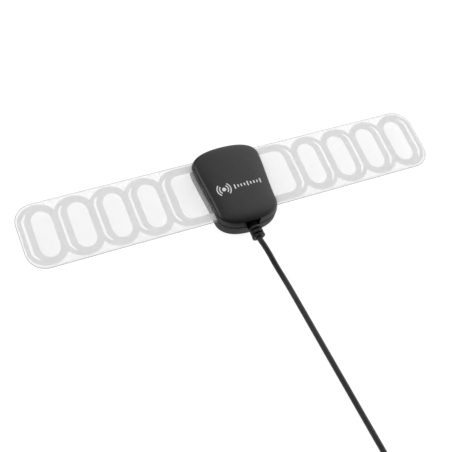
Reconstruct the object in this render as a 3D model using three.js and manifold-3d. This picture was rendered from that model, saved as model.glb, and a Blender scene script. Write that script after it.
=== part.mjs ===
// Flat film television antenna: a clear laminate strip with two printed loop arms, a small moulded
// housing clamped round its middle, and a thin coaxial lead that ends in a screw-on F plug.
// Millimetres, +Z up. The origin is on the surface that the antenna rests on, under the middle of
// the strip's length and of the housing's depth. -Y is the side that the lead leaves from.

import * as THREE from "three";
import { mergeVertices } from "three/addons/utils/BufferGeometryUtils.js";
import Module from "manifold-3d";

const wasm = await Module();
wasm.setup();

// ---------------------------------------------------------------- driving dimensions

const FILM = { length: 220, width: 35, corner: 9.8, y: 1.8, bottom: 5.95, base: 0.25, cover: 0.2 };
FILM.coverInset = 0.7;
FILM.traceZ = FILM.bottom + FILM.base;
const INK = 0.05;

// One arm of the printed pattern, measured outwards from the middle of the strip.
const ARM = {
  firstCell: 45.9,      // middle of the first whole cell
  pitch: 17.72,
  cells: 4,
  outer: { a: 9.9, b: 9.0 },    // half width of a cell, and height of its round end
  roundFrom: 7.3,       // where the straight sides turn into round ends
  hole: { a: 4.9, b: 5.2, y: 7.0, shift: -1.4 },
  slitOuter: { a: 7.95, b: 6.6 },
  slitInner: { a: 6.65, b: 5.4 },
  slitTurn: THREE.MathUtils.degToRad(48),
  bigHoleEdge: 31.3,
  bigHoleTop: 12.4,
  bigHoleCorner: 4.5,
  bandInner: 4,
  bandOuter: 8,
};

const HOUSING = {
  length: 46.2, shoulder: 18.9, shoulderY: 13.8, waist: 16.7, waistY: -13.2,
  bottom: 0.4, parting: 6.2, crease: 9.7, creaseInset: 1.1, dome: 1.1,
  wall: 1.5, floor: 1.3, roof: 1.2,
};
const SLOT = { inner: 11, outer: 25, reach: 17.8, below: 0.3, above: 1.5 };

const SCREW = {
  x: 13, y: 9.5, head: 1.8, headHeight: 1.4, seat: 2.0, shaft: 0.85, tip: 8.6, gap: 0.2,
  recess: { reach: 1.1, half: 0.22, depth: 0.7 },
};
const BOSS = { foot: 3.0, footTop: 3.4, radius: 2.2, filmHole: 2.6 };

const PAD = { width: 21, depth: 36, corner: 3, thickness: 1.0, gap: 0.3 };

const BOARD = {
  width: 17, front: -19.4, back: 10.4, bottom: 4.0, thickness: 0.8,
  post: { hole: 1.0, pin: 0.7, foot: 1.6, x: 6.6, front: -15.8, back: 8.4 },
};
BOARD.top = BOARD.bottom + BOARD.thickness;
const CONTACT = { x: 6.0, width: 3.0, strip: 0.15, window: 5.0, rib: { x: 1.2, y: 4 } };
const BALUN = { width: 4.4, front: -8.0, back: -3.4, height: 2.2, boreX: 1.0, boreRadius: 0.62, wire: 0.25 };
const CAPACITOR = { x: 4.6, y: -10.6, length: 2.0, width: 1.2, height: 0.9 };
const INDUCTOR = { x: 0, y: 2.4, length: 2.6, width: 1.8, height: 1.4 };

const CORD = { radius: 1.4, axisZ: 6.7, braid: 1.0, dielectric: 0.7, conductor: 0.22 };
const RELIEF = {
  front: -30.1, sleeveBack: -24.2, back: -20.9, radius: 3.2, tip: 3.35, neck: 1.95, bore: 1.6, gap: 0.3,
  flange: { front: -21.2, back: -19.9, half: 4.0, halfHeight: 2.0 },
  slots: { places: [-26.0, -28.4], width: 0.9, from: 1.3 },
};
// The opening for the relief: round below the lead's axis, flared above it.
const NOTCH = { front: -24.1, back: -20.9, radius: 3.45, top: 9.3, topHalf: 4.3 };

// The lead from the strain relief to the coil, where it is not wound.
const LEAD = [
  [0, -30.4, 6.7], [0.3, -32.2, 6.6], [0.9, -34.4, 6.25], [1.6, -37.0, 5.6], [2.4, -40.0, 4.6],
  [3.2, -43.4, 3.4], [4.1, -47.2, 2.35], [5.0, -51.5, 1.7], [5.7, -56.2, 1.45], [6.4, -62.5, 1.4],
  [8.4, -82.6, 1.4], [10.4, -102.7, 1.4], [12.4, -122.8, 1.4], [14.4, -142.9, 1.45],
  [15.6, -155.0, 1.6], [16.7, -166.0, 1.9],
];
const COIL = { x: -4.3, y: -180.4, inner: 9.6, outer: 24.1, bottom: 0.9, top: 17.2, chamfer: 2.2 };
const TIE = { angle: THREE.MathUtils.degToRad(140), width: 5, strip: 0.8, inner: 8.9, outer: 24.4 };
// The lead from the coil to the plug.
const TAIL = [
  [-19.5, -201.4, 14.6], [-25, -201.4, 13.2], [-31, -201.4, 11.0], [-37, -201.4, 8.9],
  [-43, -201.4, 7.3], [-48, -201.4, 6.65], [-53.3, -201.4, 6.5],
];

// The plug, measured along its axis from the back of its boot.
const PLUG = { x: -53.6, y: -201.4, z: 6.5, boot: 22, collar: 6.45, collarFrom: 16.5 };
const NUT = { back: 23, front: 31, acrossFlats: 11, lip: 25.2, lipBore: 3.75, bore: 4.6 };
const POST = { radius: 3.5, flange: 4.3, flangeBack: 25.5, front: 27, bore: 2.7, boreFrom: 24 };
const PIN = { radius: 0.45, front: 32.5 };

// ---------------------------------------------------------------- materials

const finish = (color, roughness, metalness = 0) =>
  new THREE.MeshStandardMaterial({ color, roughness, metalness });
const clear = (color, opacity) => {
  const material = finish(color, 0.12);
  material.transparent = true;
  material.opacity = opacity;
  return material;
};
const BLACK_SATIN = finish(0x3a3b3d, 0.5);
const DARK_RUBBER = finish(0x151516, 0.6);
const STEEL = finish(0xb8babd, 0.3, 1);
const BRASS = finish(0xc9a65c, 0.35, 1);

// ---------------------------------------------------------------- joining and cutting

function solid(geometry) {
  const bare = geometry.index ? geometry.toNonIndexed() : geometry.clone();
  bare.deleteAttribute("normal");
  bare.deleteAttribute("uv");
  const merged = mergeVertices(bare, 1e-4);
  const vertProperties = new Float32Array(merged.attributes.position.array);
  const triVerts = new Uint32Array(merged.index.array);
  return new wasm.Manifold(new wasm.Mesh({ numProp: 3, vertProperties, triVerts }));
}

function geometryOf(manifold) {
  const mesh = manifold.getMesh();
  const geometry = new THREE.BufferGeometry();
  geometry.setAttribute("position", new THREE.BufferAttribute(mesh.vertProperties, 3));
  geometry.setIndex(new THREE.BufferAttribute(mesh.triVerts, 1));
  geometry.computeVertexNormals();
  return geometry;
}

function mesh(name, shape, material) {
  const geometry = shape.isBufferGeometry ? shape : geometryOf(shape);
  const part = new THREE.Mesh(geometry, material);
  part.name = name;
  return part;
}

// A box given by its lowest and highest corners.
function box(x0, y0, z0, x1, y1, z1) {
  const geometry = new THREE.BoxGeometry(x1 - x0, y1 - y0, z1 - z0);
  return geometry.translate((x0 + x1) / 2, (y0 + y1) / 2, (z0 + z1) / 2);
}

function upright(radius, x, y, z0, z1, sides = 16) {
  const geometry = new THREE.CylinderGeometry(radius, radius, z1 - z0, sides);
  return geometry.rotateX(Math.PI / 2).translate(x, y, (z0 + z1) / 2);
}

// A turned piece about the X axis; the profile is a list of [along, radius] from back to front.
function turned(profile, sides = 20) {
  const points = profile.map(([along, radius]) => new THREE.Vector2(radius, along));
  return new THREE.LatheGeometry(points, sides).rotateZ(-Math.PI / 2);
}

function plate(shape, z, thickness, curveSegments = 8) {
  const options = { depth: thickness, bevelEnabled: false, curveSegments };
  return new THREE.ExtrudeGeometry(shape, options).translate(0, 0, z);
}

function roundedRectangle(width, depth, corner, y = 0) {
  const shape = new THREE.Shape();
  const right = width / 2;
  const back = depth / 2;
  shape.absarc(right - corner, y + back - corner, corner, 0, Math.PI / 2);
  shape.absarc(-right + corner, y + back - corner, corner, Math.PI / 2, Math.PI);
  shape.absarc(-right + corner, y - back + corner, corner, Math.PI, 1.5 * Math.PI);
  shape.absarc(right - corner, y - back + corner, corner, 1.5 * Math.PI, 2 * Math.PI);
  shape.closePath();
  return shape;
}

// ---------------------------------------------------------------- the printed strip

// A closed path with straight sides and round ends, about (x, 0).
function oval(path, x, a, b, y) {
  path.absellipse(x, y, a, b, 0, Math.PI);
  path.absellipse(x, -y, a, b, Math.PI, 2 * Math.PI);
  path.closePath();
  return path;
}

// The narrow slit that follows the outboard side of a cell.
function slit(x) {
  const { slitOuter: outer, slitInner: inner, slitTurn: turn, roundFrom: y } = ARM;
  const path = new THREE.Path();
  path.absellipse(x, -y, outer.a, outer.b, -turn, 0);
  path.absellipse(x, y, outer.a, outer.b, 0, turn);
  path.absellipse(x, y, inner.a, inner.b, turn, 0, true);
  path.absellipse(x, -y, inner.a, inner.b, 0, -turn, true);
  path.closePath();
  return path;
}

// The right-hand arm: whole cells in a row, then a longer cell that runs on into the housing.
function armShape() {
  const { outer, roundFrom, pitch, cells, firstCell } = ARM;
  const top = roundFrom + outer.b;
  const meet = Math.asin(Math.sqrt(1 - (pitch / 2 / outer.a) ** 2));
  const middles = Array.from({ length: cells }, (_, i) => firstCell + i * pitch);
  const bigMiddle = firstCell - pitch;
  const last = middles[cells - 1];
  const shape = new THREE.Shape();
  shape.moveTo(ARM.bandInner, -top);
  shape.lineTo(bigMiddle, -top);
  shape.absellipse(bigMiddle, -roundFrom, outer.a, outer.b, -Math.PI / 2, -meet);
  middles.slice(0, -1).forEach((x) => {
    shape.absellipse(x, -roundFrom, outer.a, outer.b, meet - Math.PI, -meet);
  });
  shape.absellipse(last, -roundFrom, outer.a, outer.b, meet - Math.PI, 0);
  shape.absellipse(last, roundFrom, outer.a, outer.b, 0, Math.PI - meet);
  middles.slice(0, -1).reverse().forEach((x) => {
    shape.absellipse(x, roundFrom, outer.a, outer.b, meet, Math.PI - meet);
  });
  shape.absellipse(bigMiddle, roundFrom, outer.a, outer.b, meet, Math.PI / 2);
  shape.lineTo(ARM.bandInner, top);
  shape.closePath();
  middles.forEach((x) => {
    const { a, b, y, shift } = ARM.hole;
    shape.holes.push(oval(new THREE.Path(), x + shift, a, b, y), slit(x));
  });
  const bigWidth = ARM.bigHoleEdge - ARM.bandOuter;
  const bigHole = roundedRectangle(bigWidth, 2 * ARM.bigHoleTop, ARM.bigHoleCorner);
  const moved = bigHole.getPoints(5).map((p) => p.add(new THREE.Vector2(ARM.bandOuter + bigWidth / 2, 0)));
  shape.holes.push(new THREE.Path(moved), slit(bigMiddle));
  return shape;
}

function trace(side) {
  const arm = plate(armShape(), FILM.traceZ, INK, 4);
  return solid(arm.rotateZ(side > 0 ? 0 : Math.PI).translate(0, FILM.y, 0));
}

function filmLayer(inset, z, thickness, windows) {
  const corner = FILM.corner - inset;
  const shape = roundedRectangle(FILM.length - 2 * inset, FILM.width - 2 * inset, corner, FILM.y);
  let layer = solid(plate(shape, z, thickness, 5));
  for (const x of [-SCREW.x, SCREW.x]) {
    for (const y of [-SCREW.y, SCREW.y]) {
      layer = layer.subtract(solid(upright(BOSS.filmHole, x, FILM.y + y, z - 1, z + 1)));
    }
  }
  for (const x of windows) {
    const half = CONTACT.window / 2;
    const hole = box(x - half, FILM.y - half, z - 1, x + half, FILM.y + half, z + 1);
    layer = layer.subtract(solid(hole));
  }
  return layer;
}

// ---------------------------------------------------------------- the housing

// The plan outline: broad round shoulders at the back, tapering to a bowed front.
function outline(inset) {
  const end = HOUSING.length / 2 - inset;
  const shoulder = HOUSING.shoulder - inset;
  const waist = HOUSING.waist - inset;
  const { shoulderY, waistY } = HOUSING;
  const half = new THREE.Path();
  half.moveTo(0, -end);
  half.bezierCurveTo(waist * 0.54, -end, waist, -end + 2.6, waist, waistY);
  half.bezierCurveTo(waist, waistY + 9, shoulder, shoulderY - 8, shoulder, shoulderY);
  half.bezierCurveTo(shoulder, end - 2.2, shoulder * 0.58, end, 0, end);
  const right = half.getPoints(7);
  const left = right.slice(1, -1).reverse().map((p) => new THREE.Vector2(-p.x, p.y));
  return [...right, ...left];
}

// A closed solid through level rings, each { inset, z, scale }, capped flat at both ends.
function stack(levels) {
  const rings = levels.map(({ inset, z, scale = 1 }) =>
    outline(inset).map((p) => new THREE.Vector3(p.x * scale, p.y * scale, z)));
  const size = rings[0].length;
  const centres = [levels[0], levels.at(-1)].map(({ z }) => new THREE.Vector3(0, 0, z));
  const points = [...rings.flat(), ...centres];
  const bottom = rings.length * size;
  const index = [];
  for (let i = 0; i < size; i += 1) {
    const next = (i + 1) % size;
    for (let k = 0; k + 1 < rings.length; k += 1) {
      const low = k * size;
      index.push(low + i, low + next, low + size + next, low + i, low + size + next, low + size + i);
    }
    const high = bottom - size;
    index.push(bottom, next, i, bottom + 1, high + i, high + next);
  }
  const geometry = new THREE.BufferGeometry().setFromPoints(points);
  geometry.setIndex(index);
  return solid(geometry);
}

// Rings of the shallow dome that closes the top, from its edge to near its middle.
function domeLevels(inset, edge, rise) {
  return [0.86, 0.66, 0.42, 0.18].map((scale) => ({ inset, scale, z: edge + rise * (1 - scale ** 2) }));
}

const bossPlaces = [-SCREW.x, SCREW.x].flatMap((x) =>
  [FILM.y - SCREW.y, FILM.y + SCREW.y].map((y) => [x, y]));

// The film passes out through a slot in each side wall.
function sideSlots(z0, z1) {
  const y0 = FILM.y - SLOT.reach;
  const y1 = FILM.y + SLOT.reach;
  const { inner, outer } = SLOT;
  return solid(box(-outer, y0, z0, -inner, y1, z1)).add(solid(box(inner, y0, z0, outer, y1, z1)));
}

// The room that the strain relief takes: an opening through the front walls, and a pocket behind
// them for its flange.
function reliefRoom() {
  const { flange, gap } = RELIEF;
  const { front, back, radius, top, topHalf } = NOTCH;
  const { axisZ } = CORD;
  const section = new THREE.Shape();
  section.absarc(0, axisZ, radius, Math.PI, 2 * Math.PI);
  section.lineTo(topHalf, top);
  section.lineTo(-topHalf, top);
  section.closePath();
  const notch = plate(section, 0, back - front, 6).rotateX(Math.PI / 2).translate(0, back, 0);
  const reach = flange.half + gap;
  const rise = flange.halfHeight + gap;
  const pocket = box(-reach, flange.front - gap, axisZ - rise, reach, flange.back + gap, axisZ + rise);
  return solid(notch).add(solid(pocket));
}

function housingTop() {
  const { parting, crease, creaseInset, dome, wall, roof } = HOUSING;
  const outside = stack([
    { inset: 0, z: parting },
    { inset: creaseInset - 0.25, z: crease - 0.7 },
    { inset: creaseInset + 0.35, z: crease },
    ...domeLevels(creaseInset + 0.35, crease + 0.1, dome),
  ]);
  const room = stack([
    { inset: wall, z: parting - 1 },
    { inset: wall + creaseInset, z: crease - roof },
    ...domeLevels(wall + creaseInset, crease - roof + 0.1, dome - 0.1),
  ]);
  const slots = sideSlots(parting - 1, parting + SLOT.above);
  let shell = outside.subtract(room).subtract(slots);
  for (const [x, y] of bossPlaces) {
    shell = shell.add(solid(upright(BOSS.radius, x, y, parting, crease - 0.4)));
    shell = shell.subtract(solid(upright(SCREW.shaft + SCREW.gap, x, y, parting - 1, SCREW.tip + 0.3)));
  }
  for (const x of [-CONTACT.x, CONTACT.x]) {
    const foot = FILM.traceZ + INK + FILM.cover;
    const { rib: half } = CONTACT;
    const rib = box(x - half.x, FILM.y - half.y, foot, x + half.x, FILM.y + half.y, crease);
    shell = shell.add(solid(rib));
  }
  return shell.subtract(reliefRoom());
}

function housingBase() {
  const { bottom, parting, wall, floor } = HOUSING;
  const outside = stack([
    { inset: 0.7, z: bottom },
    { inset: 0.15, z: bottom + 0.5 },
    { inset: 0, z: bottom + 1.2 },
    { inset: 0, z: parting },
  ]);
  const room = stack([{ inset: wall, z: bottom + floor }, { inset: wall, z: parting + 1 }]);
  const slots = sideSlots(parting - SLOT.below, parting + 1);
  let shell = outside.subtract(room).subtract(slots);
  for (const [x, y] of bossPlaces) {
    shell = shell.add(solid(upright(BOSS.foot, x, y, bottom + 0.2, BOSS.footTop)));
    shell = shell.add(solid(upright(BOSS.radius, x, y, bottom + 0.2, parting)));
    shell = shell.subtract(solid(upright(SCREW.head + SCREW.gap, x, y, bottom - 1, SCREW.seat)));
    shell = shell.subtract(solid(upright(SCREW.shaft + SCREW.gap, x, y, bottom, parting + 1)));
  }
  for (const [x, y] of boardPosts) {
    shell = shell.add(solid(upright(BOARD.post.foot, x, y, bottom + 0.5, BOARD.bottom)));
    shell = shell.add(solid(upright(BOARD.post.pin, x, y, bottom + 0.5, BOARD.top + 0.3, 12)));
  }
  const recess = roundedRectangle(PAD.width + 2 * PAD.gap, PAD.depth + 2 * PAD.gap, PAD.corner + PAD.gap);
  shell = shell.subtract(solid(plate(recess, bottom - 1, PAD.thickness + 1 - bottom, 4)));
  return shell.subtract(reliefRoom());
}

function restPad() {
  return plate(roundedRectangle(PAD.width, PAD.depth, PAD.corner), 0, PAD.thickness, 4);
}

// A pan-head screw with a cross slot, which goes in from below.
function screw(x, y) {
  const head = upright(SCREW.head, x, y, SCREW.seat - SCREW.headHeight, SCREW.seat);
  const shaft = upright(SCREW.shaft, x, y, SCREW.seat - 0.2, SCREW.tip, 12);
  const z = SCREW.seat - SCREW.headHeight;
  const { reach, half, depth } = SCREW.recess;
  const slots = [[reach, half], [half, reach]].map(([dx, dy]) =>
    box(x - dx, y - dy, z - 1, x + dx, y + dy, z + depth));
  return slots.reduce((body, slot) => body.subtract(solid(slot)), solid(head).add(solid(shaft)));
}

// ---------------------------------------------------------------- the matching board

const boardPosts = [-BOARD.post.x, BOARD.post.x].flatMap((x) =>
  [BOARD.post.front, BOARD.post.back].map((y) => [x, y]));

function circuitBoard() {
  const half = BOARD.width / 2;
  let board = solid(box(-half, BOARD.front, BOARD.bottom, half, BOARD.back, BOARD.top));
  for (const [x, y] of boardPosts) {
    board = board.subtract(solid(upright(BOARD.post.hole, x, y, BOARD.bottom - 1, BOARD.top + 1, 12)));
  }
  return board;
}

// A bent strip that stands on the board and presses up on an arm's contact band.
function contactSpring(side) {
  const low = BOARD.top;
  const high = FILM.traceZ;
  const t = CONTACT.strip;
  const shape = new THREE.Shape();
  shape.moveTo(-2.2, low);
  shape.lineTo(1.6, low);
  shape.quadraticCurveTo(2.4, low, 2.0, low + 0.6);
  shape.lineTo(1.2, high - 0.25);
  shape.quadraticCurveTo(1.0, high, 0.7, high);
  shape.lineTo(-0.7, high);
  shape.lineTo(-1.0, high - 0.2);
  shape.lineTo(-0.9, high - 0.2 - t);
  shape.lineTo(0.7, high - t);
  shape.lineTo(1.0, high - 0.35);
  shape.lineTo(1.8, low + 0.55);
  shape.quadraticCurveTo(2.0, low + t, 1.5, low + t);
  shape.lineTo(-2.2, low + t);
  shape.closePath();
  const options = { depth: CONTACT.width, bevelEnabled: false, curveSegments: 4 };
  const strip = new THREE.ExtrudeGeometry(shape, options).translate(0, 0, -CONTACT.width / 2);
  strip.rotateX(Math.PI / 2);
  if (side < 0) {
    strip.rotateZ(Math.PI);
  }
  return solid(strip.translate(side * CONTACT.x, FILM.y, 0));
}

function balunCore() {
  const { width, front, back, height, boreX, boreRadius } = BALUN;
  const low = BOARD.bottom - height;
  const core = solid(box(-width / 2, front, low, width / 2, back, BOARD.bottom));
  const bores = [-boreX, boreX].map((x) => {
    const bore = new THREE.CylinderGeometry(boreRadius, boreRadius, 2 * (back - front), 12);
    return solid(bore.translate(x, (front + back) / 2, low + height / 2));
  });
  return core.subtract(bores[0]).subtract(bores[1]);
}

function wire(points, radius, sides = 8, steps = 12) {
  const path = new THREE.CatmullRomCurve3(points.map((p) => new THREE.Vector3(...p)), false, "centripetal");
  const section = new THREE.Shape();
  section.absarc(0, 0, radius, 0, 2 * Math.PI);
  const options = { steps, extrudePath: path, curveSegments: sides / 2, bevelEnabled: false };
  return new THREE.ExtrudeGeometry(section, options);
}

// Enamelled wire through both bores of the core, its ends up against the board.
function balunWinding() {
  const { front, back, height, boreX: x, wire: radius } = BALUN;
  const z = BOARD.bottom - height / 2;
  const end = [x, back + 1.4, BOARD.bottom - 0.3];
  const half = [end, [x, back + 0.8, z + 0.3], [x, back, z], [x, (front + back) / 2, z], [x, front, z],
    [0.75 * x, front - 0.7, z]];
  const mirrored = half.map(([px, y, pz]) => [-px, y, pz]).reverse();
  return wire([...half, [0, front - 1, z], ...mirrored], radius, 6, 26);
}

// A chip part hanging under the board: a body with a step down at each capped end.
function chip({ x, y, length, width, height }) {
  const top = BOARD.bottom;
  const body = box(x - length / 2, y - width / 2, top - height, x + length / 2, y + width / 2, top);
  const waist = length * 0.28;
  const cut = box(x - waist, y - width, top - height - 1, x + waist, y + width, top - height + 0.08);
  return solid(body).subtract(solid(cut));
}

// ---------------------------------------------------------------- the lead inside the housing

function along(y0, y1, radius, sides = 12) {
  const rod = new THREE.CylinderGeometry(radius, radius, y1 - y0, sides);
  return rod.translate(0, (y0 + y1) / 2, CORD.axisZ);
}

// A rubber sleeve on a thin neck that passes through the walls, with a flange behind them. Slots
// across its top and bottom let it bend up and down.
function strainRelief() {
  const { front, back, sleeveBack, radius, tip, neck, bore, flange, slots } = RELIEF;
  const { axisZ } = CORD;
  const profile = [
    [back, 0], [back, neck], [sleeveBack, neck], [sleeveBack, radius], [front + 1.2, radius],
    [front + 1, tip], [front + 0.3, tip], [front, tip - 0.3], [front, 0],
  ].map(([y, r]) => new THREE.Vector2(r, y));
  const sleeve = new THREE.LatheGeometry(profile.reverse(), 24).translate(0, 0, axisZ);
  const { half, halfHeight } = flange;
  const plateBehind = box(-half, flange.front, axisZ - halfHeight, half, flange.back, axisZ + halfHeight);
  let body = solid(sleeve).add(solid(plateBehind));
  for (const y of slots.places) {
    const y0 = y - slots.width / 2;
    const y1 = y + slots.width / 2;
    const reach = 2 * radius;
    body = body.subtract(solid(box(-reach, y0, axisZ + slots.from, reach, y1, axisZ + reach)));
    body = body.subtract(solid(box(-reach, y0, axisZ - reach, reach, y1, axisZ - slots.from)));
  }
  return body.subtract(solid(along(front - 1, flange.back + 1, bore)));
}

// The lead's end inside the housing, stripped back in steps to its conductor.
function coaxEnd() {
  const jacketEnd = RELIEF.flange.back;
  const braidEnd = jacketEnd + 1.0;
  const dielectricEnd = braidEnd + 0.8;
  return {
    jacket: along(RELIEF.front + 0.1, jacketEnd, CORD.radius),
    braid: along(jacketEnd, braidEnd, CORD.braid),
    dielectric: along(braidEnd, dielectricEnd, CORD.dielectric),
    conductor: wire([
      [0, dielectricEnd, CORD.axisZ], [0, dielectricEnd + 0.4, CORD.axisZ - 0.1],
      [0, dielectricEnd + 0.9, CORD.axisZ - 0.7], [0, dielectricEnd + 1.3, BOARD.top + 0.8],
      [0, dielectricEnd + 1.8, BOARD.top + 0.3], [0, dielectricEnd + 2.6, BOARD.top + 0.28],
    ], CORD.conductor, 6, 10),
  };
}

// ---------------------------------------------------------------- the free lead and the plug

function leadTube(route, steps) {
  return wire(route, CORD.radius, 8, steps);
}

function coil() {
  const { inner, outer, bottom, top, chamfer } = COIL;
  const profile = [
    [inner, bottom], [outer - chamfer, bottom], [outer, bottom + chamfer], [outer, top - chamfer],
    [outer - chamfer, top], [inner, top], [inner, bottom],
  ].map(([r, z]) => new THREE.Vector2(r, z));
  return new THREE.LatheGeometry(profile, 40).rotateX(Math.PI / 2);
}

// A strap that goes round one side of the coil.
function coilTie() {
  const { width, strip, inner, outer } = TIE;
  const top = COIL.top + 0.3;
  const loop = box(inner - strip, -width / 2, 0, outer + strip, width / 2, top + strip);
  const hole = box(inner, -width, strip, outer, width, top);
  return solid(loop).subtract(solid(hole));
}

function plugBoot() {
  const { boot, collar, collarFrom } = PLUG;
  const ribs = [0, 1, 2, 3].flatMap((i) => {
    const at = 2.4 + i * 3.2;
    const r = 3.3 + i * 0.5;
    return [[at, r], [at + 1.6, r + 0.15], [at + 1.8, r - 0.7], [at + 2.9, r - 0.55]];
  });
  const body = [[15.4, 5.2], [collarFrom, collar - 0.5], [collarFrom + 0.6, collar]];
  const front = [[boot - 0.6, collar], [boot, collar - 0.6], [boot, 0]];
  return turned([[0, 0], [0, 2.6], [2.2, 2.9], ...ribs, ...body, ...front], 16);
}

function plugPost() {
  const { radius, flange, flangeBack, front, bore, boreFrom } = POST;
  return turned([
    [PLUG.boot, 0], [PLUG.boot, radius], [flangeBack, radius], [flangeBack, flange], [front, flange],
    [front, bore], [boreFrom, bore], [boreFrom, 0],
  ]);
}

function plugInsulator() {
  const r = POST.bore - 0.3;
  const ring = [[POST.boreFrom, PIN.radius + 0.3], [POST.boreFrom, r], [POST.front - 0.4, r]];
  return turned([...ring, [POST.front - 0.4, PIN.radius + 0.3], ring[0]], 16);
}

function plugPin() {
  const tip = PIN.front - 0.6;
  const back = POST.boreFrom;
  return turned([[back, 0], [back, PIN.radius], [tip, PIN.radius], [PIN.front, 0.12], [PIN.front, 0]], 12);
}

function plugNut() {
  const { back, front, acrossFlats, lip, lipBore, bore } = NUT;
  const corner = acrossFlats / 2 / Math.cos(Math.PI / 6);
  const hex = new THREE.CylinderGeometry(corner, corner, front - back, 6);
  hex.rotateZ(Math.PI / 2).translate((back + front) / 2, 0, 0);
  const chamfer = 0.9;
  const envelope = turned([
    [back, 0], [back, corner - chamfer], [back + chamfer / 2, corner], [front - chamfer / 2, corner],
    [front, corner - chamfer], [front, 0],
  ], 36);
  const room = turned([
    [back - 1, 0], [back - 1, lipBore], [lip, lipBore], [lip, bore], [front - 0.5, bore], [front, bore + 0.4],
    [front + 1, bore + 0.4], [front + 1, 0],
  ]);
  return solid(hex).intersect(solid(envelope)).subtract(solid(room));
}

// ---------------------------------------------------------------- the assembly

const antenna = new THREE.Group();

const CLEAR_FILM = clear(0xf4f6f7, 0.3);
antenna.add(mesh("film_base", filmLayer(0, FILM.bottom, FILM.base, [-CONTACT.x, CONTACT.x]), CLEAR_FILM));
const coverZ = FILM.traceZ + INK;
antenna.add(mesh("film_cover", filmLayer(FILM.coverInset, coverZ, FILM.cover, []), CLEAR_FILM));
const PRINT = finish(0xdcdedf, 0.45);
antenna.add(mesh("trace_left", trace(-1), PRINT));
antenna.add(mesh("trace_right", trace(1), PRINT));

antenna.add(mesh("housing_top", housingTop(), BLACK_SATIN));
antenna.add(mesh("housing_base", housingBase(), BLACK_SATIN));
antenna.add(mesh("rest_pad", restPad(), finish(0x1d1d1e, 0.95)));
bossPlaces.forEach(([x, y], i) => antenna.add(mesh(`housing_screw_${i + 1}`, screw(x, y), STEEL)));

antenna.add(mesh("circuit_board", circuitBoard(), finish(0x1f5b3a, 0.5)));
antenna.add(mesh("contact_spring_left", contactSpring(-1), BRASS));
antenna.add(mesh("contact_spring_right", contactSpring(1), BRASS));
antenna.add(mesh("balun_core", balunCore(), finish(0x2c2c2e, 0.7)));
antenna.add(mesh("balun_winding", balunWinding(), finish(0xb0552c, 0.35, 1)));
antenna.add(mesh("chip_capacitor_1", chip({ ...CAPACITOR, x: -CAPACITOR.x }), finish(0xb59a74, 0.6)));
antenna.add(mesh("chip_capacitor_2", chip(CAPACITOR), finish(0xb59a74, 0.6)));
antenna.add(mesh("chip_inductor", chip(INDUCTOR), finish(0x35363a, 0.6)));

const inside = coaxEnd();
antenna.add(mesh("strain_relief", strainRelief(), DARK_RUBBER));
antenna.add(mesh("coax_jacket_end", inside.jacket, DARK_RUBBER));
antenna.add(mesh("coax_braid_end", inside.braid, STEEL));
antenna.add(mesh("coax_dielectric_end", inside.dielectric, finish(0xf2f1ec, 0.5)));
antenna.add(mesh("coax_conductor_end", inside.conductor, BRASS));

const cordRubber = finish(0x2a2a2b, 0.5);
antenna.add(mesh("cord_lead", leadTube(LEAD, 44), cordRubber));
const wound = new THREE.Group();
wound.position.set(COIL.x, COIL.y, 0);
wound.add(mesh("cord_coil", coil(), cordRubber));
const tie = mesh("cord_tie", coilTie(), finish(0x18181a, 0.9));
tie.rotation.z = TIE.angle;
wound.add(tie);
antenna.add(wound);
antenna.add(mesh("cord_tail", leadTube(TAIL, 12), cordRubber));

const plug = new THREE.Group();
plug.position.set(PLUG.x, PLUG.y, PLUG.z);
plug.rotation.z = Math.PI;
plug.add(mesh("plug_boot", plugBoot(), DARK_RUBBER));
plug.add(mesh("plug_post", plugPost(), STEEL));
plug.add(mesh("plug_insulator", plugInsulator(), finish(0xf2f1ec, 0.5)));
plug.add(mesh("plug_pin", plugPin(), BRASS));
plug.add(mesh("plug_nut", plugNut(), STEEL));
antenna.add(plug);

export default antenna;
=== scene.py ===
import math

import bmesh
import bpy
from mathutils import Matrix, Vector
from mathutils.bvhtree import BVHTree
from mathutils.geometry import tessellate_polygon


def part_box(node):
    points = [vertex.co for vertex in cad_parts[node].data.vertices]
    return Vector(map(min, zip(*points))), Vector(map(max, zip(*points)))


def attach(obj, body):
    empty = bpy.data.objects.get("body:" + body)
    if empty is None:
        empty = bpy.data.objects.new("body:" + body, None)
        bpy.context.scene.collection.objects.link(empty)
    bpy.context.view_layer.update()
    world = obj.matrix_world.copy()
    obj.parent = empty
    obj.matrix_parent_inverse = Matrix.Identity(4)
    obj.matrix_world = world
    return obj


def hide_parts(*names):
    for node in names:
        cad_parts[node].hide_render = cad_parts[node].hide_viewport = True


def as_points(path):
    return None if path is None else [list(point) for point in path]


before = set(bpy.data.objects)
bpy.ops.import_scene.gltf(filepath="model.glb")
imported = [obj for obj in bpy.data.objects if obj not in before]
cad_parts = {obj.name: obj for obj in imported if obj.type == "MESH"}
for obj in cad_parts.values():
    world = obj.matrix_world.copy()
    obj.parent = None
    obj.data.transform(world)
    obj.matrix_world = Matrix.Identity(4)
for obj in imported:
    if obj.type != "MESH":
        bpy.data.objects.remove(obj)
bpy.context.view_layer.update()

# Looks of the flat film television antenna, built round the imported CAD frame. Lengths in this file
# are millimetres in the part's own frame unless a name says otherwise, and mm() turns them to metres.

BODY = "antenna"
NUT_BODY = "plug_nut"
TAU = 2 * math.pi
UP = Vector((0, 0, 1))
TINY = 0.001             # the radius that stands for a turned piece's axis


def mm(*values):
    return Vector([v * 0.001 for v in values])


def node_box(node):
    """A CAD node's lowest and highest corners, in millimetres."""
    low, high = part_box(node)
    return low * 1000, high * 1000


# -------- places taken from the frame

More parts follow.
